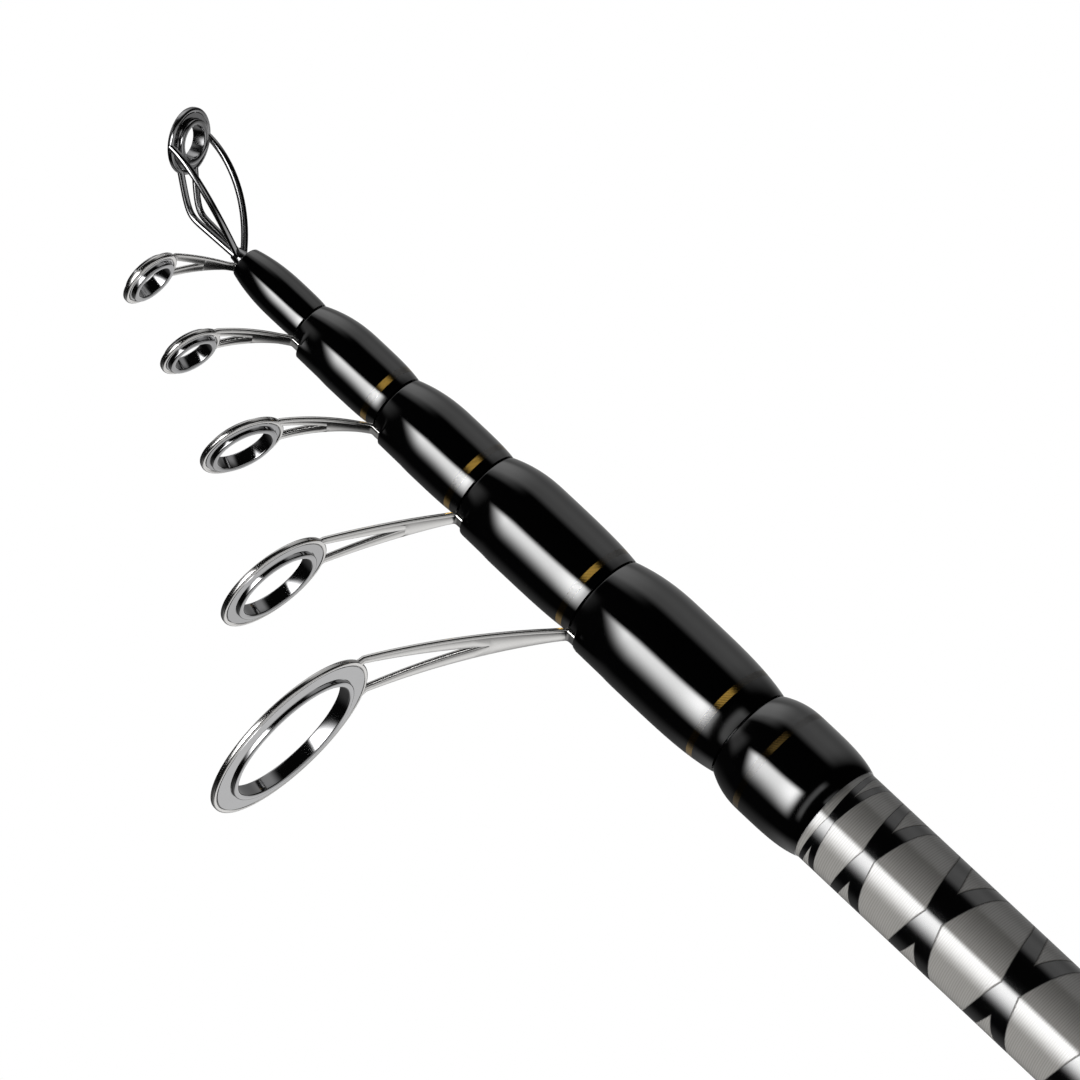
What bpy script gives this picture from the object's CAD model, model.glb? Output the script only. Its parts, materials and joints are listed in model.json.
# %% [markdown]
# A telescopic fishing rod, pushed closed. Six tapered tubes nest in one another, and each ends in a
# swelling collar of thread under thick black resin. A polished line guide stands on every collar, the
# thickest tube shows its spiral wrap, and a handle with a reel seat and a screw cap closes the butt.
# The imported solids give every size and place, so this lesson only makes their visible surfaces.

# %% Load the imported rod
import json
import math
from collections import namedtuple

import bpy
from mathutils import Matrix, Vector

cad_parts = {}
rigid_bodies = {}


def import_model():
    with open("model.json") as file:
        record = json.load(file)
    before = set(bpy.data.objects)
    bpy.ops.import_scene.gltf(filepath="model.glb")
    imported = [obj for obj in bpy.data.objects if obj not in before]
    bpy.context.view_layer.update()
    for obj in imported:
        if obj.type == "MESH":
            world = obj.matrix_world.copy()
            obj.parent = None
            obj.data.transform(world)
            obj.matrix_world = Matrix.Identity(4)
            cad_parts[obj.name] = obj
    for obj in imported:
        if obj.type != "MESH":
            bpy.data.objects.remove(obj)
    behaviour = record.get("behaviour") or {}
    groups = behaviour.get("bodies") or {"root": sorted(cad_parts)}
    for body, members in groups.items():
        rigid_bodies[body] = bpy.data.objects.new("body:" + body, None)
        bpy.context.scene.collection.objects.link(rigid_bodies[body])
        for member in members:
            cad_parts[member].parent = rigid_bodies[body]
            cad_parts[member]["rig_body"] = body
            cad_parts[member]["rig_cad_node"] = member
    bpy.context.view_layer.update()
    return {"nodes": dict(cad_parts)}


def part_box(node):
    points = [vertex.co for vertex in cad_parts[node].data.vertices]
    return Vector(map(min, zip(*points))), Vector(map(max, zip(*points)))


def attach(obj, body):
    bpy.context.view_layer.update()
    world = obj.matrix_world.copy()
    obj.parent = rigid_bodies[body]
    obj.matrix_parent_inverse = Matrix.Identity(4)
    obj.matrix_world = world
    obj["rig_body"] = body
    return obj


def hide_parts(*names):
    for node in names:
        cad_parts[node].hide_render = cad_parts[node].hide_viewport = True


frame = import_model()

MM = 0.001

# %% [markdown]
# Heights and radii come from the solids themselves. A box gives where a piece starts and ends along the
# rod, and the points of its mesh at one height give its radius there, which no box can tell.

# %% Measure the solids
SAME_HEIGHT = 0.05 * MM
SECTIONS = ["butt", "section_1", "section_2", "section_3", "section_4", "section_5"]


def span(node):
    """Lowest and highest point of a node along the rod."""
    low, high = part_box(node)
    return low.z, high.z


def radii_at(node, z):
    """Smallest and largest distance from the rod's axis of a node's points at one height."""
    found = [math.hypot(v.co.x, v.co.y) for v in frame["nodes"][node].data.vertices
             if abs(v.co.z - z) < SAME_HEIGHT]
    return min(found), max(found)


for section in SECTIONS:
    foot, lip = span(section + "_collar")
    print(section, "collar", round(foot / MM, 1), "to", round(lip / MM, 1), "mm, lip radius",
          round(radii_at(section + "_collar", lip)[1] / MM, 2))

# %% [markdown]
# Nearly every piece of a rod is turned, wound or drawn, so it is round about one axis. Such a piece is
# made as on a lathe: one point is extruded along the profile, and the profile is spun a full turn. The
# alternative, a cylinder with edge rings moved by hand, gives the same shape with more work.

# %% Turning tool
SPIN_STEPS = 128
WELD = 0.002 * MM
SMOOTH_ANGLE = math.radians(38)


def fresh_start():
    """Leave edit mode with nothing selected, so that an operator touches only what comes next."""
    if bpy.context.object and bpy.context.object.mode != "OBJECT":
        bpy.ops.object.mode_set(mode="OBJECT")
    bpy.ops.object.select_all(action="DESELECT")


def settle(piece):
    """Write a piece's place and turn into its mesh, so that its object sits at the origin."""
    fresh_start()
    piece.select_set(True)
    bpy.context.view_layer.objects.active = piece
    bpy.ops.object.transform_apply(location=True, rotation=True, scale=True)


def smooth(piece, angle=SMOOTH_ANGLE):
    """Shade a piece smooth, apart from its sharp edges."""
    fresh_start()
    piece.select_set(True)
    bpy.context.view_layer.objects.active = piece
    bpy.ops.object.shade_smooth_by_angle(angle=angle)


def modify(piece, kind, **settings):
    """Add a modifier to a piece and apply it."""
    fresh_start()
    piece.select_set(True)
    bpy.context.view_layer.objects.active = piece
    added = piece.modifiers.new(kind.lower(), kind)
    for name, value in settings.items():
        setattr(added, name, value)
    bpy.ops.object.modifier_apply(modifier=added.name)


def turned(name, profile, steps=SPIN_STEPS):
    """Spin a profile of (radius, height) points about the vertical axis."""
    fresh_start()
    radius, height = profile[0]
    bpy.ops.mesh.primitive_plane_add(size=MM, location=(radius, 0, height))
    piece = bpy.context.object
    piece.name = name
    settle(piece)
    bpy.ops.object.mode_set(mode="EDIT")
    bpy.ops.mesh.select_all(action="SELECT")
    bpy.ops.mesh.merge(type="CENTER")
    for (r0, z0), (r1, z1) in zip(profile, profile[1:]):
        bpy.ops.mesh.extrude_vertices_move(TRANSFORM_OT_translate={"value": (r1 - r0, 0, z1 - z0)})
    bpy.ops.mesh.select_all(action="SELECT")
    bpy.ops.mesh.spin(steps=steps, angle=math.tau, center=(0, 0, 0), axis=(0, 0, 1))
    bpy.ops.mesh.select_all(action="SELECT")
    bpy.ops.mesh.remove_doubles(threshold=WELD)
    bpy.ops.mesh.normals_make_consistent(inside=False)
    smooth(piece)
    return piece


def joined(name, pieces):
    """Join pieces into one object."""
    fresh_start()
    for piece in pieces:
        piece.select_set(True)
    bpy.context.view_layer.objects.active = pieces[0]
    bpy.ops.object.join()
    pieces[0].name = name
    return pieces[0]


def put(piece, body, slot, finish, *nodes):
    """Give a piece its finish, its body and the solids that it stands for."""
    piece.data.materials.clear()
    piece.data.materials.append(finish)
    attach(piece, body)
    if nodes:
        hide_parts(*nodes)
    print(piece.name, len(piece.data.polygons), "faces on", body)
    return piece


# %% [markdown]
# Shader maths reads best as plain expressions. One small class wraps a socket: an operator on it adds a
# Math node, and its node method adds any other node with its settings and inputs.

# %% Sockets as values
class Link:
    """A socket in a node tree, or the bare tree. Arithmetic adds Math nodes, and node() any other."""

    def __init__(self, tree, socket=None):
        self.tree = tree
        self.socket = socket

    def node(self, kind, settings=None, inputs=None, output=0):
        made = self.tree.nodes.new("ShaderNode" + kind)
        for name, value in (settings or {}).items():
            setattr(made, name, value)
        for key, value in (inputs or {}).items():
            self.plug(made.inputs[key], value)
        return Link(self.tree, made.outputs[output])

    def plug(self, socket, value):
        if isinstance(value, Link):
            self.tree.links.new(value.socket, socket)
        else:
            socket.default_value = value

    def maths(self, operation, *values):
        return self.node("Math", {"operation": operation}, dict(enumerate(values)))

    def __add__(self, other):
        return self.maths("ADD", self, other)

    def __sub__(self, other):
        return self.maths("SUBTRACT", self, other)

    def __mul__(self, other):
        return self.maths("MULTIPLY", self, other)

    def __truediv__(self, other):
        return self.maths("DIVIDE", self, other)

    def __radd__(self, other):
        return self.maths("ADD", other, self)

    def __rsub__(self, other):
        return self.maths("SUBTRACT", other, self)

    def __rmul__(self, other):
        return self.maths("MULTIPLY", other, self)

    def __abs__(self):
        return self.maths("ABSOLUTE", self)

    def step(self, low, high):
        """Rises smoothly from 0 at low to 1 at high, or falls where low is the larger."""
        rising = low < high
        ends = {0: self, 1: min(low, high), 2: max(low, high), 3: float(not rising), 4: float(rising)}
        return self.node("MapRange", {"interpolation_type": "SMOOTHSTEP"}, ends)

    def between(self, a, b, c, d):
        """Rises from 0 at a to 1 at b, and falls from 1 at c to 0 at d."""
        return self.step(a, b) * self.step(d, c)

    def mix(self, first, second):
        """Colour between two, with this value as the share of the second."""
        return self.node("Mix", {"data_type": "RGBA"}, {0: self, 6: first, 7: second}, 2)


def rgb(red, green, blue):
    return (red, green, blue, 1.0)


def new_finish(name, constants):
    """A material with its shader, whose unvarying inputs sit on the shader's own sockets."""
    material = bpy.data.materials.new(name)
    material.use_nodes = True
    shader = material.node_tree.nodes["Principled BSDF"]
    for socket, value in constants.items():
        shader.inputs[socket].default_value = value
    place = Link(material.node_tree).node("TexCoord", output="Object")
    return material, shader, place


def feed(shader, varying):
    """Link what changes over a surface to the shader's sockets."""
    for socket, value in varying.items():
        value.plug(shader.inputs[socket], value)


def noise(place, scale, detail=2.0, stretch=(1, 1, 1)):
    """Cloudy value from 0 to 1, with spots of about 1 / scale metres."""
    turned_place = place.node("Mapping", {}, {0: place, 3: stretch})
    return place.node("TexNoise", {}, {"Vector": turned_place, "Scale": scale, "Detail": detail})


def bump(height, depth, strength=1.0):
    """Normal of a surface that rises by depth metres where height is 1."""
    return height.node("Bump", {}, {"Height": height, "Distance": depth, "Strength": strength})


def axes(place):
    """The x, y and z of a place as separate values."""
    tree = place.tree
    parts = place.node("SeparateXYZ", {}, {0: place})
    return [Link(tree, socket) for socket in parts.socket.node.outputs]


print("sockets ready")

# %% [markdown]
# The collars are thread under several coats of resin, dipped and turned while they cure. The surface is
# almost a black mirror: what shows is the room's reflection, bent by a slow waviness of the resin. The
# thread below is a shade lighter than the resin's own black, and only shows close up.

# %% Black resin
THREAD_PITCH = 0.24 * MM
RESIN_WAVE = 0.022 * MM


def black_resin():
    """Black mirror with slow waves over fine thread."""
    material, shader, place = new_finish("black_resin", {
        "IOR": 1.5, "Coat Weight": 1.0, "Coat Roughness": 0.025, "Coat IOR": 1.5})
    x, y, z = axes(place)
    thread = z.maths("SINE", z * (math.tau / THREAD_PITCH)).step(-1, 1)
    shown = thread * noise(place, 900)
    feed(shader, {
        "Base Color": shown.mix(rgb(0.0004, 0.0004, 0.0005), rgb(0.0018, 0.0018, 0.002)),
        "Roughness": 0.05 + 0.06 * noise(place, 400, 4),
        "Normal": bump(noise(place, 140, 1), RESIN_WAVE, 0.6),
    })
    return material


resin = black_resin()
print(resin.name, len(resin.node_tree.nodes), "nodes")

# %% [markdown]
# The butt tube is wound with silver tape in two directions, under clear resin. Two dark spiral gaps are
# left between the turns, and where they cross they widen into a black bow tie. A formula in the angle
# round the tube and the height along it draws both gaps: the angle from the crossing side gives how far
# apart they are, and the height is folded into one turn. The turns crowd together below the collar. Sizes
# along the tube are in mm.

# %% Wound tape on the butt tube
CROSSING_SIDE = math.radians(62)
TURN_RISE = 14.6
FIRST_CROSSING = 2.0
CROWDED_TURNS = 0.676
CROWDED_LENGTH = 5.3
GAP_HALF = 0.9
BOW_HALF = 0.75
BOW_SPREAD = 1.3
GAP_SOFT = 0.16
EDGE_LINE = 0.1
TAPE_LINE = 0.36
TAPE_RELIEF = 0.02 * MM


def wound_tape(collar_foot):
    """Silver tape and dark gaps under clear resin, counted from the foot of the collar above."""
    material, shader, place = new_finish("wound_tape", {
        "IOR": 1.5, "Specular IOR Level": 0.25, "Coat Roughness": 0.02, "Coat IOR": 1.8})
    x, y, z = axes(place)
    tree = Link(material.node_tree)
    radius = tree.maths("SQRT", x * x + y * y)
    facing = (x * math.cos(CROSSING_SIDE) + y * math.sin(CROSSING_SIDE)) / radius
    angle = tree.maths("ARCCOSINE", tree.maths("MINIMUM", tree.maths("MAXIMUM", facing, -1.0), 1.0))
    below = (collar_foot - z) / MM - FIRST_CROSSING
    crowding = 1 - tree.maths("EXPONENT", below / -CROWDED_LENGTH)
    turns = below / TURN_RISE + CROWDED_TURNS * crowding
    folded = abs(turns - tree.maths("ROUND", turns)) * TURN_RISE
    apart = angle * (TURN_RISE / math.tau)
    side = angle / BOW_SPREAD
    back = (math.pi - angle) / BOW_SPREAD
    bow = tree.maths("EXPONENT", side * side * -1.0) + tree.maths("EXPONENT", back * back * -1.0)
    past_gap = abs(folded - apart) - (GAP_HALF + bow * BOW_HALF)
    tape = past_gap.step(-GAP_SOFT, GAP_SOFT)
    edge = abs(past_gap).step(EDGE_LINE * 2, EDGE_LINE)
    line = tree.maths("SINE", z * (math.tau / (TAPE_LINE * MM))).step(-1, 1)
    fine = noise(place, 60, 3, (1, 1, 60))
    grain = 0.6 * line + 0.4 * fine
    silver = grain.mix(rgb(0.27, 0.262, 0.249), rgb(0.4, 0.388, 0.368))
    feed(shader, {
        "Base Color": tape.mix(rgb(0.001, 0.001, 0.0012), silver),
        "Metallic": tape * 0.06,
        "Roughness": 0.2 + tape * 0.32 + 0.08 * fine,
        "Coat Weight": 1 - edge * 0.9,
        "Normal": bump(tape * (0.7 + 0.3 * line), TAPE_RELIEF, 0.5),
    })
    return material


tape = wound_tape(span("butt_collar")[0])
print(tape.name, len(tape.node_tree.nodes), "nodes")

# %% [markdown]
# The thinner tubes are black carbon, ground smooth and lacquered thinly. Grinding leaves faint rings,
# and the cloth below shows as slow spirals when light grazes the tube.

# %% Black carbon tube
GRIND_PITCH = 0.9 * MM
CLOTH_PITCH = 18 * MM
CLOTH_STARTS = 2.0


def black_carbon():
    """Ground black tube with slow spirals of cloth."""
    material, shader, place = new_finish("black_carbon", {
        "IOR": 1.5, "Coat Weight": 0.6, "Coat Roughness": 0.06})
    x, y, z = axes(place)
    tree = Link(material.node_tree)
    turn = tree.maths("ARCTAN2", y, x) * CLOTH_STARTS + z * (math.tau / CLOTH_PITCH)
    spiral = tree.maths("SINE", turn).step(-0.2, 0.9)
    rings = tree.maths("SINE", z * (math.tau / GRIND_PITCH)).step(-1, 1)
    feed(shader, {
        "Base Color": (spiral * 0.7 + rings * 0.3).mix(rgb(0.006, 0.006, 0.007), rgb(0.02, 0.02, 0.022)),
        "Roughness": 0.22 + 0.12 * rings + 0.08 * noise(place, 300, 3),
        "Normal": bump(rings, 0.006 * MM, 0.4),
    })
    return material


carbon = black_carbon()
print(carbon.name, len(carbon.node_tree.nodes), "nodes")

# %% [markdown]
# The gold band is metallic thread, a few turns that lie under the collar's own clear resin. The clear coat
# is as smooth as the collar, so the softbox's streak runs on over it. Below it a bump leans every turn
# towards the foot, so the metal catches one low light over a short arc and stays dark elsewhere. The
# butt's band lies deeper in the resin and looks browner.

# %% Gold thread
TURN_PITCH = 0.25 * MM
TURN_LEAN = 0.34
TWIST_PITCH = 0.3 * MM
TWISTS_ROUND = 140.0


def gold_thread(name, bright):
    """Metallic thread that leans towards the foot under a smooth clear coat."""
    material, shader, place = new_finish(name, {
        "Metallic": 1.0, "Coat Weight": 1.0, "Coat Roughness": 0.025, "Coat IOR": 1.75})
    x, y, z = axes(place)
    tree = Link(material.node_tree)
    angle = tree.maths("ARCTAN2", y, x)
    twist = tree.maths("SINE", angle * TWISTS_ROUND + z * (math.tau / TWIST_PITCH)).step(-1, 1)
    feed(shader, {
        "Base Color": twist.mix(rgb(*[c * 0.65 for c in bright]), rgb(*bright)),
        "Roughness": 0.12 + 0.06 * twist,
        "Normal": bump(z / TURN_PITCH + 0.05 * twist, TURN_LEAN * TURN_PITCH, 1.0),
    })
    return material


gold = gold_thread("gold_thread", (0.62, 0.38, 0.08))
deep_gold = gold_thread("deep_gold_thread", (0.2, 0.13, 0.04))
print(gold.name, deep_gold.name, len(gold.node_tree.nodes), "nodes")

# %% [markdown]
# Guide frames are stamped from sheet steel and plated, and the rings are ground and polished. A plated
# edge is never a perfect mirror: roughness wanders a little, and polishing leaves faint short strokes.

# %% Plated steel and polished rings
def plated(name, bright, stroke, rough):
    """Polished metal whose strokes are stretched along the axes that stroke makes small."""
    material, shader, place = new_finish(name, {"Metallic": 1.0})
    strokes = noise(place, 500, 3, stroke)
    cloud = noise(place, 120, 2)
    feed(shader, {
        "Base Color": cloud.mix(rgb(*[c * 0.9 for c in bright]), rgb(*bright)),
        "Roughness": rough + 0.07 * strokes + 0.05 * cloud,
        "Normal": bump(strokes, 0.004 * MM, 0.25),
    })
    return material


steel = plated("plated_steel", (0.72, 0.71, 0.695), (1, 1, 0.15), 0.14)
hard_ring = plated("polished_ring", (0.36, 0.36, 0.365), (1, 1, 1), 0.05)
dark_wire = plated("dark_plated_wire", (0.36, 0.36, 0.365), (1, 1, 0.15), 0.08)
print(steel.name, hard_ring.name, dark_wire.name)

# %% [markdown]
# The handle is foam, moulded plastic, anodised aluminium and rubber. Foam is a cut sponge: fine pits all
# over, dull, and a little lighter where hands polish it. Turned metal keeps the lathe's fine rings.

# %% Handle finishes
TOOL_PITCH = 0.35 * MM


def foam():
    """Cut sponge with fine pits."""
    material, shader, place = new_finish("grip_foam", {"Specular IOR Level": 0.3, "Sheen Weight": 0.15})
    cells = place.node("TexVoronoi", {"feature": "F1"}, {"Vector": place, "Scale": 2600.0})
    worn = noise(place, 45, 4)
    feed(shader, {
        "Base Color": (worn * 0.6 + cells * 0.4).mix(rgb(0.012, 0.012, 0.0125), rgb(0.04, 0.04, 0.041)),
        "Roughness": 0.72 + 0.2 * cells,
        "Normal": bump(cells, 0.12 * MM, 0.45),
    })
    return material


def turned_metal(name, dark, light, rough):
    """Metal with the lathe's fine rings."""
    material, shader, place = new_finish(name, {"Metallic": 1.0})
    x, y, z = axes(place)
    tree = Link(material.node_tree)
    rings = tree.maths("SINE", z * (math.tau / TOOL_PITCH)).step(-1, 1)
    cloud = noise(place, 90, 3)
    feed(shader, {
        "Base Color": (cloud * 0.7 + rings * 0.3).mix(rgb(*dark), rgb(*light)),
        "Roughness": rough + 0.1 * rings + 0.08 * cloud,
        "Normal": bump(rings, 0.008 * MM, 0.35),
    })
    return material


def dull(name, dark, light, rough, grain, depth):
    """Moulded surface with a fine grit."""
    material, shader, place = new_finish(name, {"IOR": 1.45})
    grit = noise(place, grain, 5)
    cloud = noise(place, 70, 2)
    feed(shader, {
        "Base Color": (cloud * 0.6 + grit * 0.4).mix(rgb(*dark), rgb(*light)),
        "Roughness": rough + 0.15 * grit,
        "Normal": bump(grit, depth, 0.5),
    })
    return material


grip = foam()
anodised = turned_metal("anodised_grey", (0.07, 0.07, 0.073), (0.12, 0.12, 0.125), 0.24)
bright_metal = turned_metal("turned_aluminium", (0.5, 0.5, 0.5), (0.64, 0.64, 0.645), 0.18)
moulded = dull("moulded_black", (0.012, 0.012, 0.012), (0.024, 0.024, 0.025), 0.4, 2200, 0.03 * MM)
rubber = dull("soft_rubber", (0.01, 0.01, 0.01), (0.022, 0.022, 0.022), 0.65, 1200, 0.05 * MM)
print([m.name for m in (grip, anodised, bright_metal, moulded, rubber)])

# %% [markdown]
# Each tube is a long thin cone. It is turned from four points, outside and bore, so that its open end
# shows its wall. A cone primitive would be quicker, but it would have no bore.

# %% Tubes
def tube(name, node):
    """Cone with its bore, or a solid cone where the node has none."""
    low, high = span(node)
    foot_in, foot_out = radii_at(node, low)
    top_in, top_out = radii_at(node, high)
    if foot_in == foot_out:
        foot_in = top_in = 0.0
    profile = [(foot_in, low), (foot_out, low), (top_out, high), (top_in, high), (foot_in, low)]
    return turned(name, profile)


put(tube("butt_tube", "butt_blank"), "butt", "carbon_blank", tape, "butt_blank")
for section in SECTIONS[1:]:
    put(tube(section + "_tube", section + "_blank"), section, "black_blank", carbon, section + "_blank")
put(tube("tip_rod", "tip_blank"), "tip", "black_blank", carbon, "tip_blank")

# %% [markdown]
# A collar swells quickly from its lip, is fullest a third of the way down and then falls off slowly to its
# foot, as resin does when it is turned and drawn in by its own skin. Two power curves give that barrel,
# and its slow curve is what bends the softbox into a leaf-shaped streak. A shallow groove takes the gold
# thread, and the lip ends in a small arc, because resin never cures to a knife edge. Over a guide's foot
# the resin stands up to the full swell: a weighted push on that side does it after the turning.

# %% Collars and gold bands
RISE = dict(zip(SECTIONS, (0.36, 0.36, 0.36, 0.5, 0.5, 0.62)))
RISE_POWER = 2.2
FALL_POWER = 4.0
PROFILE_STEPS = 60
LIP_ROUND = 0.35 * MM
LIP_SHARE = 0.8
LIP_STEPS = 6
BAND_STEPS = 4
FOOT_BARE = 1.4 * MM
COVER_SLOPE = 0.6 * MM
COVER_SIDE = 0.4 * MM
COVER_SOFT = 1.8 * MM
COVER_BELOW = 0.08 * MM
COVER_ARC = math.pi / 3
FOOT_WIDTH = dict(section_1=3.4, section_2=2.8, section_3=2.4, section_4=2.2)


def collar_radius(x, rise, lip_r, full_r, foot_r):
    """Radius of a collar at a share x of its length, from its lip to its foot."""
    swell = 1 - max(0.0, 1 - x / rise) ** RISE_POWER
    fall = max(0.0, (x - rise) / (1 - rise)) ** FALL_POWER
    return lip_r + (full_r - lip_r) * swell - (full_r - foot_r) * fall


def collar_sizes(section):
    """Heights of a collar's foot and lip, and its radii at the lip, the fullest place and the foot."""
    node = section + "_collar"
    foot, lip = span(node)
    return foot, lip, radii_at(node, lip)[1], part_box(node)[1].y, radii_at(node, foot)[1]


def collar_at(section, z):
    """Radius of a section's collar at one height."""
    foot, lip, lip_r, full_r, foot_r = collar_sizes(section)
    return collar_radius((lip - z) / (lip - foot), RISE[section], lip_r, full_r, foot_r)


def collar(section):
    foot, lip, lip_r, full_r, foot_r = collar_sizes(section)
    node = section + "_collar"
    bore_lip, bore_foot = radii_at(node, lip)[0], radii_at(node, foot)[0]
    outer = []
    for k in range(PROFILE_STEPS + 1):
        x = k / PROFILE_STEPS
        outer.append((collar_radius(x, RISE[section], lip_r, full_r, foot_r), lip - (lip - foot) * x))
    if section != "section_5":
        outer = grooved(outer, section)
    bore = min(bore_lip, bore_foot)
    outer = rounded_lip(outer, min(LIP_ROUND, LIP_SHARE * (lip_r - bore)))
    profile = outer + [(bore_foot, foot), (bore, lip), outer[0]]
    piece = turned(section + "_resin", profile)
    if section in FOOT_WIDTH:
        cover_foot(piece, section, lip, lip_r, full_r)
    smooth(piece)
    return piece


def rounded_lip(outer, size):
    """Round off the top edge of a collar's profile with an arc that meets its slope."""
    (r0, lip), (r1, z1) = outer[0], outer[1]
    slope = math.atan2(r1 - r0, lip - z1)
    start = lip - size * (1 - math.sin(slope))
    middle = r0 + (lip - start) * math.tan(slope) - size * math.cos(slope)
    turns = [(math.pi / 2 - slope) * k / LIP_STEPS for k in range(LIP_STEPS + 1)]
    arc = [(middle + size * math.sin(a), lip - size + size * math.cos(a)) for a in turns]
    return arc + [p for p in outer if p[1] < start - size * 0.1]


def cover_foot(piece, section, lip, lip_r, full_r):
    """Push a collar's guide side out to the full swell, up to a bare piece of foot below the lip."""
    ring_low, ring_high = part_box(section + "_ring")
    turn = math.atan2(ring_low.y + ring_high.y, ring_low.x + ring_high.x)
    flat = FOOT_WIDTH[section] * MM / 2 + COVER_SIDE
    full_z = lip - RISE[section] * (lip - span(section + "_collar")[0])
    reach = full_r - lip_r
    group = piece.vertex_groups.new(name="foot_cover")
    for point in piece.data.vertices:
        place = point.co
        radius = math.hypot(place.x, place.y)
        aside = math.atan2(place.y, place.x) - turn
        if radius < lip_r or abs(aside) > COVER_ARC:
            continue
        across = eased((flat + COVER_SOFT - abs(radius * math.sin(aside))) / COVER_SOFT)
        along = eased((lip - FOOT_BARE - place.z) / COVER_SLOPE) if place.z > full_z else 0.0
        missing = max(0.0, full_r - COVER_BELOW - radius) / reach
        group.add([point.index], across * along * missing, "REPLACE")
    modify(piece, "DISPLACE", direction="X", mid_level=0.0, strength=reach, vertex_group="foot_cover")


def eased(share):
    """Share held between 0 and 1, with soft ends."""
    share = min(1.0, max(0.0, share))
    return share * share * (3 - 2 * share)


def grooved(outer, section):
    """Cut a square groove for the gold thread into a collar's profile."""
    low, high = span(section + "_band")
    bottom = radii_at(section + "_band", low)[0]
    groove = [(collar_at(section, high), high), (bottom, high), (bottom, low), (collar_at(section, low), low)]
    return [p for p in outer if p[1] > high] + groove + [p for p in outer if p[1] < low]


def gold_turns(section):
    """Band in the collar's groove, flush with the collar above and below it."""
    low, high = span(section + "_band")
    inner = radii_at(section + "_band", low)[0]
    heights = [low + (high - low) * k / BAND_STEPS for k in range(BAND_STEPS + 1)]
    outer = [(collar_at(section, z), z) for z in heights]
    return turned(section + "_gold_turns", [(inner, low), *outer, (inner, high), (inner, low)])


for section in SECTIONS:
    put(collar(section), section, "black_lacquer", resin, section + "_collar")
    if section != "section_5":
        thread = deep_gold if section == "butt" else gold
        put(gold_turns(section), section, "gold_thread", thread, section + "_band")

# %% [markdown]
# A guide is one stamping: a foot bound under the collar, a leg that bends up and forks, and a band round
# the ring. Half a leg is drawn by extruding the foot's top edge along a curve while the edge narrows and
# moves outwards, which opens the fork's window. A mirror makes the other half, Solidify gives the sheet
# its thickness, and a bevel rounds the stamped edges so that they catch the light. The table gives each
# guide's diameters, fork, foot and sheet in mm, and its lean and bow in degrees.

# %% Guide sizes
Guide = namedtuple("Guide", "section band_od bore lean bow fork foot foot_len sheet")
GUIDES = [
    Guide("section_1", 28.2, 20.2, 2, 7, 12.4, 3.4, 20, 0.8),
    Guide("section_2", 17.5, 11.4, 8, 4, 7.8, 2.8, 16, 0.8),
    Guide("section_3", 12.6, 8.2, 18, 12, 6.2, 2.4, 12.5, 0.8),
    Guide("section_4", 9.3, 5.6, 14, 12, 5.6, 2.2, 12, 0.8),
    Guide("section_5", 9.2, 5.4, 4, 10, 6.2, 1.6, 9, 0.55),
]
TIP_RING = Guide("tip", 9.6, 4.8, 30, 0, 0, 0, 0, 0)
ARC_PULL = 1 / 3
LEG_STEPS = 26
FOOT_CLEAR = 0.15 * MM
GLUE = 0.03 * MM
FOOT_SHORT = 0.3 * MM
FIFTH_AHEAD = 0.2 * MM
BAND_WALL = 0.7 * MM
BAND_H = 0.9 * MM
RING_H = 2.2 * MM
RIM_W = 0.9 * MM
FLANGE_H = 0.8 * MM
ARM_W = 1.25 * MM
WINDOW_FROM = 0.35


def ring_place(guide):
    """Turn about the rod, distance from its axis and height of a ring's centre."""
    low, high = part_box(guide.section + "_ring")
    centre = (low + high) / 2
    return math.atan2(centre.y, centre.x), math.hypot(centre.x, centre.y), centre.z


def bezier(p, t):
    """Point at a share t along a curve with four control points."""
    return (p[0] * (1 - t) ** 3 + p[1] * 3 * t * (1 - t) ** 2 + p[2] * 3 * t * t * (1 - t) + p[3] * t ** 3)


for guide in GUIDES + [TIP_RING]:
    print(guide.section, [round(math.degrees(v), 1) if k == 0 else round(v / MM, 1)
                          for k, v in enumerate(ring_place(guide))])

# %% [markdown]
# A leg is planned as stations from the foot's tail to the ring, and then extruded through them. Bending a
# flat sheet with a curve modifier would also do, but stations let the fork open where it should.

# %% Guide legs
STAMPED_ROUND = 0.44
CORNER = math.radians(50)


def leg_stations(guide):
    """Points along a leg as (out, up, inner edge, outer edge), from the foot's tail to the ring."""
    lip = span(guide.section + "_collar")[1]
    if guide.section == "section_5":
        foot_r = radii_at("section_5_blank", lip)[1] + GLUE
        ahead = FIFTH_AHEAD
    else:
        foot_r = radii_at(guide.section + "_collar", lip)[1] + FOOT_CLEAR
        ahead = -FOOT_SHORT
    sheet = guide.sheet * MM
    turn, height, ring_z = ring_place(guide)
    lean = math.radians(guide.lean)
    up = Vector((math.cos(lean), math.sin(lean)))
    centre = Vector((height, ring_z))
    mid_r = (guide.band_od * MM - BAND_WALL) / 2
    half_fork = guide.fork * MM / 2
    bend = Vector((foot_r + sheet / 2, lip + ahead))
    end = centre - up * mid_r
    pull = ARC_PULL * (end - bend)
    bow = Matrix.Rotation(math.radians(guide.bow), 2)
    curve = [bend, bend + bow @ pull, end - bow.inverted() @ pull, end]
    line = [bezier(curve, k / LEG_STEPS) for k in range(LEG_STEPS + 1)]
    line.append(centre - up * math.sqrt(mid_r ** 2 - half_fork ** 2))
    knee = foot_r + 2 * sheet
    head = line[-1].x + sheet
    half_foot = guide.foot * MM / 2
    fork_start = knee + WINDOW_FROM * (head - knee)
    stations = [(bend.x, lip - guide.foot_len * MM, 0.0, half_foot)]
    for point in line:
        spread = max(0.0, (point.x - knee) / (head - knee))
        opened = max(0.0, (point.x - fork_start) / (head - fork_start))
        outer = half_foot + (half_fork - half_foot) * spread
        stations.append((point.x, point.y, (half_fork - ARM_W) * opened, outer))
    return stations


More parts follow.
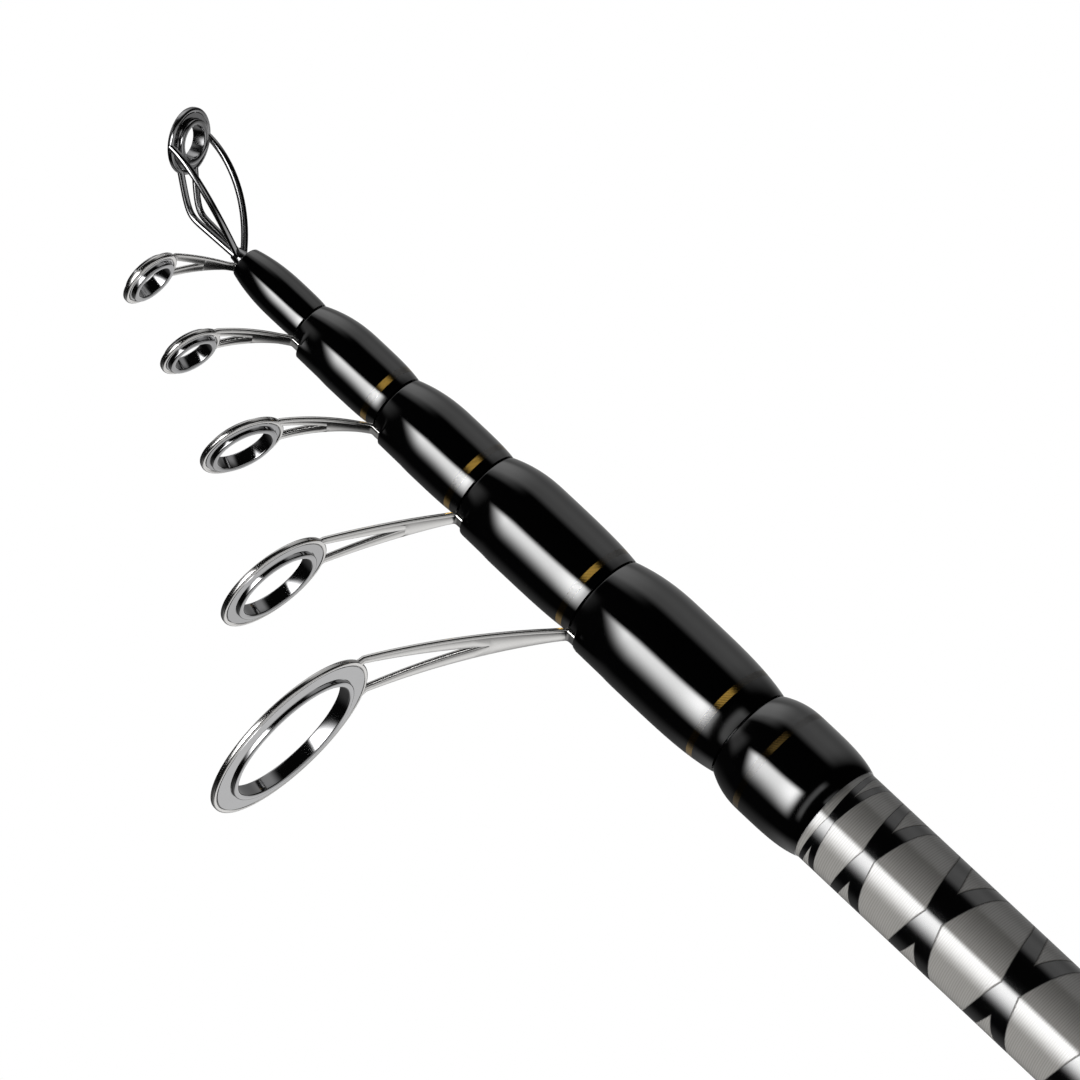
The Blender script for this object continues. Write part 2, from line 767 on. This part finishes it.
def select_where(piece, test):
    """Select in edit mode the points whose place passes a test, with the edges between them."""
    bpy.ops.object.mode_set(mode="OBJECT")
    mesh = piece.data
    for point in mesh.vertices:
        point.select = test(point.co)
    for edge in mesh.edges:
        edge.select = all(mesh.vertices[k].select for k in edge.vertices)
    for face in mesh.polygons:
        face.select = all(mesh.vertices[k].select for k in face.vertices)
    bpy.ops.object.mode_set(mode="EDIT")


def guide_leg(guide):
    stations = leg_stations(guide)
    out, low, _, outer = stations[0]
    high = stations[1][1]
    middle = (out, outer / 2, (low + high) / 2)
    fresh_start()
    bpy.ops.mesh.primitive_plane_add(size=1, location=middle, rotation=(0, math.pi / 2, 0))
    leg = bpy.context.object
    leg.name = guide.section + "_leg"
    settle(leg)
    bpy.ops.object.mode_set(mode="EDIT")
    bpy.ops.mesh.select_all(action="SELECT")
    bpy.ops.transform.resize(value=(1, outer, high - low), center_override=middle)
    select_where(leg, lambda place: place.z > middle[2])
    for (x0, z0, in0, out0), (x1, z1, in1, out1) in zip(stations[1:], stations[2:]):
        aside = (in1 + out1) / 2 - (in0 + out0) / 2
        bpy.ops.mesh.extrude_region_move(TRANSFORM_OT_translate={"value": (x1 - x0, aside, z1 - z0)})
        bpy.ops.transform.resize(value=(1, (out1 - in1) / (out0 - in0), 1),
                                 center_override=(x1, (in1 + out1) / 2, z1))
    bpy.ops.mesh.select_all(action="SELECT")
    bpy.ops.mesh.normals_make_consistent(inside=False)
    sheet = guide.sheet * MM
    modify(leg, "MIRROR", use_axis=(False, True, False), merge_threshold=WELD)
    modify(leg, "SOLIDIFY", thickness=sheet, offset=0, use_even_offset=True)
    modify(leg, "BEVEL", width=STAMPED_ROUND * sheet, segments=3, limit_method="ANGLE", angle_limit=CORNER)
    leg.rotation_euler = (0, 0, ring_place(guide)[0])
    settle(leg)
    bpy.ops.object.mode_set(mode="EDIT")
    bpy.ops.mesh.select_all(action="SELECT")
    bpy.ops.mesh.normals_make_consistent(inside=False)
    smooth(leg)
    return leg


legs = {guide.section: guide_leg(guide) for guide in GUIDES}
print({name: len(leg.data.polygons) for name, leg in legs.items()})

# %% [markdown]
# The band and the ring in it are turned about the ring's own axis, and then leaned and set in place. The
# band is round outside. The ring is a thin flange with a tall rim for the line: the flange mirrors the
# floor and is pale, and the rim's walls mirror the dark room, so a dark line runs round inside a pale one.

# %% Guide bands and rings
QUARTER_STEPS = 5
BAND_ROUND = 0.3 * MM
FLANGE_ROUND = 0.08 * MM
RIM_ROUND = 0.22 * MM


def rounded_box(inner, outer, half_h, corner):
    """Closed profile of a ring with rounded corners."""
    points = []
    right, left, top = outer - corner, inner + corner, half_h - corner
    for quarter, (r, z) in enumerate([(right, top), (left, top), (left, -top), (right, -top)]):
        for k in range(QUARTER_STEPS + 1):
            a = math.pi / 2 * (quarter + k / QUARTER_STEPS)
            points.append((r + corner * math.cos(a), z + corner * math.sin(a)))
    return points + points[:1]


def set_at_ring(piece, guide):
    """Lean a ring made about the origin and move it to its guide's place."""
    turn, height, z = ring_place(guide)
    piece.matrix_world = (Matrix.Rotation(turn, 4, "Z") @ Matrix.Translation((height, 0, z))
                          @ Matrix.Rotation(-math.radians(guide.lean), 4, "Y"))
    settle(piece)
    return piece


def guide_band(guide):
    outer = guide.band_od * MM / 2
    profile = rounded_box(outer - BAND_WALL, outer, BAND_H / 2, BAND_ROUND)
    return set_at_ring(turned(guide.section + "_band_hoop", profile), guide)


def guide_ring(guide):
    inner = guide.bore * MM / 2
    outer = guide.band_od * MM / 2 - BAND_WALL - GLUE
    rim = inner + RIM_W
    top = RING_H / 2
    upper = []
    for middle, start in ((inner + RIM_ROUND, math.pi), (rim - RIM_ROUND, math.pi / 2)):
        for k in range(QUARTER_STEPS + 1):
            a = start - math.pi / 2 * k / QUARTER_STEPS
            upper.append((middle + RIM_ROUND * math.cos(a), top - RIM_ROUND + RIM_ROUND * math.sin(a)))
    flange = FLANGE_H / 2
    upper += [(rim, flange + FLANGE_ROUND), (rim + FLANGE_ROUND, flange), (outer, flange)]
    lower = [(r, -z) for r, z in reversed(upper)]
    return set_at_ring(turned(guide.section + "_line_ring", lower + upper + lower[:1]), guide)


for guide in GUIDES:
    stamping = joined(guide.section + "_guide", [legs[guide.section], guide_band(guide)])
    ring = guide_ring(guide)
    put(stamping, guide.section, "guide_chrome", steel, guide.section + "_frame")
    put(ring, guide.section, "ring_chrome", hard_ring, guide.section + "_ring")
    stamping.visible_glossy = ring.visible_glossy = False

# %% [markdown]
# The tip guide is bent from wire: two side wires bow out to the ring's sides, and a brace of two wires
# runs up the axis and bends to the ring's bottom. Each wire is a curve with a round bevel, set by its end
# points and handles, and made a mesh. A small brazed cone gathers them on the tube.

# %% Tip guide
WIRE_R = 0.5 * MM
BOW_OUT = 6 * MM
BOW_REACH = 6.2 * MM
WIRE_LEAD = 3.7 * MM
BRACE_LEN = 10.2 * MM
BRACE_W = 3.4 * MM
BRACE_ELBOW = 2.2 * MM
BRACE_BEND = 3 * MM
BRAZE_H = 1.6 * MM
BRAZE_R = 1.2 * MM
BRAZE_FOOT = 0.3 * MM
WIRE_ROUND = 5
WIRE_STEPS = 24
TIP_LEAN = math.radians(TIP_RING.lean)
tip_turn, tip_height, tip_ring_z = ring_place(TIP_RING)
tip_z = span("tip_tube")[1]


def below_tip_ring(half_w):
    """Point of the tip ring's band below its centre, half_w to one side."""
    mid_r = (TIP_RING.band_od * MM - BAND_WALL) / 2
    drop = math.sqrt(mid_r ** 2 - half_w ** 2)
    return Vector((tip_height - drop * math.cos(TIP_LEAN), half_w, tip_ring_z - drop * math.sin(TIP_LEAN)))


def bent_wire(name, knots):
    """Round wire along knots of (point, handle before, handle after)."""
    fresh_start()
    bpy.ops.curve.primitive_bezier_curve_add(location=(0, 0, 0))
    wire = bpy.context.object
    wire.name = name
    spline = wire.data.splines[0]
    spline.bezier_points.add(len(knots) - len(spline.bezier_points))
    for knot, (point, before, after) in zip(spline.bezier_points, knots):
        knot.handle_left_type = knot.handle_right_type = "FREE"
        knot.co, knot.handle_left, knot.handle_right = point, before, after
    wire.data.bevel_depth = WIRE_R
    wire.data.bevel_resolution = WIRE_ROUND
    wire.data.resolution_u = WIRE_STEPS
    wire.data.use_fill_caps = True
    bpy.ops.object.convert(target="MESH")
    wire = bpy.context.object
    wire.rotation_euler = (0, 0, tip_turn)
    settle(wire)
    return wire


def side_wire(side):
    mid_r = (TIP_RING.band_od * MM - BAND_WALL) / 2
    root = Vector((0, side * WIRE_R, tip_z + WIRE_R))
    bow = Vector((BOW_OUT, side * mid_r, tip_z + BOW_REACH))
    end = Vector((tip_height, side * mid_r, tip_ring_z))
    lead = end - Vector((0, 0, WIRE_LEAD))
    return bent_wire("side_wire", [(root, root, bow), (end, lead, end)])


def brace_wire(side):
    root = Vector((0, side * WIRE_R, tip_z + WIRE_R))
    elbow = Vector((0, side * BRACE_ELBOW / 2, tip_z + BRACE_LEN))
    end = below_tip_ring(side * BRACE_W / 2)
    start = elbow - (elbow - root).normalized() * BRACE_BEND
    halfway = (root + start) / 2
    return bent_wire("brace_wire", [(root, root, halfway), (start, halfway, elbow), (end, elbow, end)])


braze = turned("braze", [(0, tip_z), (BRAZE_R, tip_z), (BRAZE_R, tip_z + BRAZE_FOOT),
                         (2 * WIRE_R, tip_z + BRAZE_H), (0, tip_z + BRAZE_H)])
wires = [make(side) for make in (side_wire, brace_wire) for side in (-1, 1)]
tip_guide = joined("tip_guide", [guide_band(TIP_RING), braze, *wires])
smooth(tip_guide)
put(tip_guide, "tip", "guide_chrome", dark_wire, "tip_frame")
put(guide_ring(TIP_RING), "tip", "ring_chrome", dark_wire, "tip_ring")
frame["nodes"]["tip_tube"].data.materials.clear()
frame["nodes"]["tip_tube"].data.materials.append(steel)

# %% [markdown]
# The grips are foam, turned to shape and ground. Their profiles follow the solids' own: a straight grip
# that narrows to the reel seat, and a fore grip that swells under the palm. Round edges come from a bevel.

# %% Grips
GRIP_TAPER = 26 * MM
GRIP_ROUND = 2 * MM
FORE_ROUND = 0.6 * MM
GRIP_STEPS = 40
FORE_BASE_R = 10.3 * MM
FORE_MIDDLE_R = 11.5 * MM
FORE_END_R = 9.2 * MM


def rear_grip():
    low, high = span("rear_grip")
    bore, neck = radii_at("rear_grip", high)
    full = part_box("rear_grip")[1].x
    profile = [(bore, low), (full, low)]
    for k in range(GRIP_STEPS + 1):
        x = k / GRIP_STEPS
        share = (1 + math.cos(math.pi * x)) / 2
        profile.append((neck + (full - neck) * share, high - GRIP_TAPER * (1 - x)))
    profile += [(bore, high), (bore, low)]
    return turned("rear_grip_foam", profile)


def fore_grip():
    low, high = span("fore_grip")
    bore = radii_at("fore_grip", high)[0]
    swell = FORE_MIDDLE_R - (FORE_BASE_R + FORE_END_R) / 2
    profile = [(bore, low)]
    for k in range(GRIP_STEPS + 1):
        x = k / GRIP_STEPS
        r = FORE_BASE_R + (FORE_END_R - FORE_BASE_R) * x + swell * math.sin(math.pi * x)
        profile.append((r, low + (high - low) * x))
    profile += [(bore, high), (bore, low)]
    return turned("fore_grip_foam", profile)


for piece, node, edge in ((rear_grip(), "rear_grip", GRIP_ROUND), (fore_grip(), "fore_grip", FORE_ROUND)):
    modify(piece, "BEVEL", width=edge, segments=5, limit_method="ANGLE", angle_limit=CORNER)
    smooth(piece)
    put(piece, "butt", "grip_foam", grip, node)

# %% [markdown]
# The reel seat's barrel carries the thread that the lock nut runs on. The thread is cut into the barrel's
# upper part as ridges no higher than the plain barrel, so that the hood still slides over it.

# %% Reel seat barrel
BARREL_PITCH = 2 * MM
BARREL_DEPTH = 0.45 * MM
BARREL_ROUND = 0.1 * MM
RIDGE_CORNER = math.radians(20)
THREAD_FROM = 68 * MM
GROOVE = ((0, 0), (0.35, 1), (0.5, 1), (0.85, 0))


def barrel():
    low, high = span("reel_seat")
    bore, full = radii_at("reel_seat", low)
    profile = [(bore, low), (full, low)]
    z = low + THREAD_FROM
    while z + BARREL_PITCH < high - BARREL_PITCH:
        profile += [(full - BARREL_DEPTH * deep, z + BARREL_PITCH * share) for share, deep in GROOVE]
        z += BARREL_PITCH
    profile += [(full, high), (bore, high), (bore, low)]
    piece = turned("reel_seat_barrel", profile)
    modify(piece, "BEVEL", width=BARREL_ROUND, segments=2, limit_method="ANGLE", angle_limit=RIDGE_CORNER)
    smooth(piece)
    return piece


put(barrel(), "butt", "seat_graphite", moulded, "reel_seat")

# %% [markdown]
# The hoods, nut, cap and checks already have their shape in the solids, so each is copied and its edges
# are broken. A copy of a solid is loose triangles: they are welded, flat ones are dissolved into whole
# faces, and a bevel then rounds only the real edges.

# %% Machined pieces with broken edges
FLAT_ANGLE = math.radians(1.5)
EDGE_ANGLE = math.radians(32)


def broken_edges(name, node, width):
    fresh_start()
    source = frame["nodes"][node]
    source.select_set(True)
    bpy.context.view_layer.objects.active = source
    bpy.ops.object.duplicate(linked=False)
    piece = bpy.context.object
    piece.name = name
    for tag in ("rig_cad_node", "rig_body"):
        del piece[tag]
    bpy.ops.object.mode_set(mode="EDIT")
    bpy.ops.mesh.select_all(action="SELECT")
    bpy.ops.mesh.remove_doubles(threshold=WELD)
    bpy.ops.mesh.dissolve_limited(angle_limit=FLAT_ANGLE)
    modify(piece, "BEVEL", width=width, segments=3, limit_method="ANGLE", angle_limit=EDGE_ANGLE,
           use_clamp_overlap=True)
    smooth(piece)
    return piece


MACHINED = [
    ("fixed_hood", "butt", "hood_metal", anodised, 0.5),
    ("sliding_hood", "hood", "hood_metal", anodised, 0.5),
    ("lock_nut", "lock_nut", "hood_metal", anodised, 0.25),
    ("butt_cap", "butt_cap", "hood_metal", anodised, 0.25),
    ("cap_button", "butt_cap", "liner_rubber", rubber, 0.6),
    ("fore_check", "butt", "check_metal", bright_metal, 0.25),
    ("rear_check", "butt", "check_metal", bright_metal, 0.3),
    ("ferrule", "butt", "check_metal", bright_metal, 0.3),
]
for node, body, slot, finish, width in MACHINED:
    put(broken_edges(node + "_edged", node, width * MM), body, slot, finish, node)

# %% [markdown]
# Three small pieces hide inside: the liner of the sliding hood, the cap's seal and the rattle pad. Their
# solids are right as they are and only need their rubber.

# %% Hidden rubber pieces
for node in ("hood_liner", "cap_seal", "rattle_pad"):
    rubber_mesh = frame["nodes"][node].data
    rubber_mesh.materials.clear()
    rubber_mesh.materials.append(rubber)
print("rubber on the liner, the seal and the pad")

# %% [markdown]
# The camera stands level with the reel, looks up along the rod and uses a long lens, so that the collars
# keep their proportions. Its own axes are written out: the rod crosses the picture from upper left to
# lower right and leans away from the viewer.

# %% Camera
VIEW_SIDE = math.radians(70)
ROD_TILT = math.radians(16.6)
ROD_TURN = (-0.729, 0.684)
TARGET = Vector((0, 0, 540.7 * MM))
ROD_ASIDE = 0.165 * MM
DISTANCE = 1200 * MM
LENS = 290.8

bpy.ops.object.camera_add()
camera = bpy.context.object
toward = Vector((math.cos(VIEW_SIDE), math.sin(VIEW_SIDE), 0))
aside = Vector((math.sin(VIEW_SIDE), -math.cos(VIEW_SIDE), 0))
back = toward * math.cos(ROD_TILT) - Vector((0, 0, math.sin(ROD_TILT)))
along = toward * math.sin(ROD_TILT) + Vector((0, 0, math.cos(ROD_TILT)))
right = along * ROD_TURN[0] - aside * ROD_TURN[1]
up = along * ROD_TURN[1] + aside * ROD_TURN[0]
stand = TARGET + aside * ROD_ASIDE + back * DISTANCE
camera.matrix_world = Matrix.Translation(stand) @ Matrix((right, up, back)).transposed().to_4x4()
camera.data.lens = LENS
camera.data.sensor_width = 36
camera.data.clip_start = 0.01
bpy.context.scene.camera = camera
print("camera at", [round(c, 3) for c in camera.location])

# %% [markdown]
# Black resin and chrome are only as good as what they mirror. The room is a world that gloss sees as a
# studio, by the angle round the rod from the viewer and the height above level, both in degrees: one
# bright softbox at the viewer's left that fades out to the side, a dim backdrop and wall, a pale floor
# behind the rod and darkness round the camera. Four small panels serve one spot each: the shoulders'
# right side, the lips, the collars' feet and the gold thread. What is not gloss sees a plain light from
# above and from the left, and the camera itself sees white. Lamps could do the same, but a world has no
# place, so every collar gets the same streak.

# %% Studio
LEVEL_MIRROR = math.degrees(ROD_TILT)
SOFTBOX = 11.5
Panel = namedtuple("Panel", "name sides heights strength")
PANELS = [
    Panel("window", (38, 60, 110, 130), (20, 44, 70, 80), 0.5),
    Panel("over_lips", (-80, -45, -25, 5), (40, 56, 91, 92), 0.3),
    Panel("sill", (-65, -40, 18, 40), (-12, -9, -7.5, -4), 0.7),
    Panel("glint", (-2, 8, 40, 52), (-40, -34, -24, -20), 0.65),
]


def studio():
    world = bpy.data.worlds.new("studio")
    bpy.context.scene.world = world
    world.use_nodes = True
    tree = world.node_tree
    tree.nodes.clear()
    root = Link(tree)
    place = root.node("TexCoord", output="Generated")
    facing = root.node("VectorRotate", {"rotation_type": "Z_AXIS"}, {"Vector": place, "Angle": -VIEW_SIDE})
    x, y, z = axes(facing)
    degrees = 180 / math.pi
    round_angle = root.maths("ARCTAN2", y, x) * degrees
    height = root.maths("ARCSINE", z) * degrees
    slanted = round_angle + (height - LEVEL_MIRROR) * 0.3
    beside = slanted.step(-9, -22) * round_angle.step(-74, -22)
    leaf = height - (round_angle + 30) * 0.35
    over = height.step(-2, 6) * leaf.step(38, 15)
    glow = 0.8 + 0.25 * height.step(14, 7) + 0.12 * height.step(17, 22)
    mirrored = 0.004 + beside * over * glow * SOFTBOX
    backdrop = 0.065 + 0.2 * height.step(15, 2)
    mirrored += backdrop * round_angle.step(-100, -130) * height.between(-16, -6, 16, 46)
    wall = 0.5 - 0.25 * round_angle.step(90, 125)
    mirrored += wall * round_angle.step(56, 76) * height.between(-2, 12, 55, 75)
    for panel in PANELS:
        mirrored += round_angle.between(*panel.sides) * height.between(*panel.heights) * panel.strength
    mirrored += height.step(62, 75) * 0.3
    front = round_angle.between(-152, -136, 136, 152)
    mirrored += height.step(-8, -15) * (0.4 + 0.62 * height.step(-50, -14)) * (1 - front)
    mirrored += height.step(-42, -52) * front * 0.7
    light_path = tree.nodes.new("ShaderNodeLightPath")
    sees = {name: Link(tree, light_path.outputs[name]) for name in
            ("Is Camera Ray", "Is Glossy Ray", "Is Transmission Ray")}
    skylight = 0.15 * height.step(25, 70) + 4.0 * height.step(58, 76)
    from_left = 0.4 * round_angle.between(-150, -90, -40, 20)
    plain = 0.02 + skylight + from_left + 0.2 * height.step(-2, -20)
    gloss = root.maths("MAXIMUM", sees["Is Glossy Ray"], sees["Is Transmission Ray"])
    level = plain + gloss * (mirrored - plain)
    level = level + sees["Is Camera Ray"] * (1.0 - level)
    shader = root.node("Background", {}, {"Color": rgb(1, 1, 1), "Strength": level})
    output = tree.nodes.new("ShaderNodeOutputWorld")
    tree.links.new(shader.socket, output.inputs["Surface"])
    return world


print(studio().name, "world")

# %% [markdown]
# One wide lamp at the viewer's left shades what is not gloss: the tape, the foam and the floor. Gloss does
# not see it, because the softbox is already in the studio.

# %% Key lamp
KEY_SIDE = math.radians(5)
KEY_HEIGHT = math.radians(35)
KEY_DISTANCE = 1.8
KEY_SIZE = 0.8
KEY_POWER = 25

bpy.ops.object.light_add(type="AREA")
key = bpy.context.object
level_way = Vector((math.cos(KEY_SIDE), math.sin(KEY_SIDE), 0))
key_way = level_way * math.cos(KEY_HEIGHT) + Vector((0, 0, math.sin(KEY_HEIGHT)))
key.location = TARGET + key_way * KEY_DISTANCE
key.rotation_euler = key_way.to_track_quat("Z", "Y").to_euler()
key.data.size = KEY_SIZE
key.data.energy = KEY_POWER
key.visible_glossy = False
key.visible_camera = False
print("key lamp at", [round(c, 2) for c in key.location])

# %% [markdown]
# The floor is a plain pale disc under the butt. It keeps the rod's soft shadow in the views that see it,
# and a slight mottle stops it from looking like a cut-out. The studio already holds the floor that gloss
# mirrors and the light from below, so the disc itself gives neither.

# %% Floor
FLOOR_R = 6.0


def pale_floor():
    material, shader, place = new_finish("pale_floor", {"Specular IOR Level": 0.1})
    cloud = noise(place, 3, 3)
    feed(shader, {
        "Base Color": cloud.mix(rgb(0.65, 0.65, 0.65), rgb(0.69, 0.69, 0.69)),
        "Roughness": 0.8 + 0.1 * cloud,
    })
    return material


fresh_start()
bpy.ops.mesh.primitive_circle_add(vertices=96, radius=FLOOR_R, fill_type="NGON", location=(0, 0, 0))
floor = bpy.context.object
floor.name = "floor"
floor.data.materials.append(pale_floor())
floor.visible_glossy = floor.visible_diffuse = False
print("floor", FLOOR_R, "m")

# %% [markdown]
# The sizes of the solids and of the finished pieces are written side by side, and the frame takes over.

# %% Hand over
bpy.context.scene.view_settings.view_transform = "Standard"
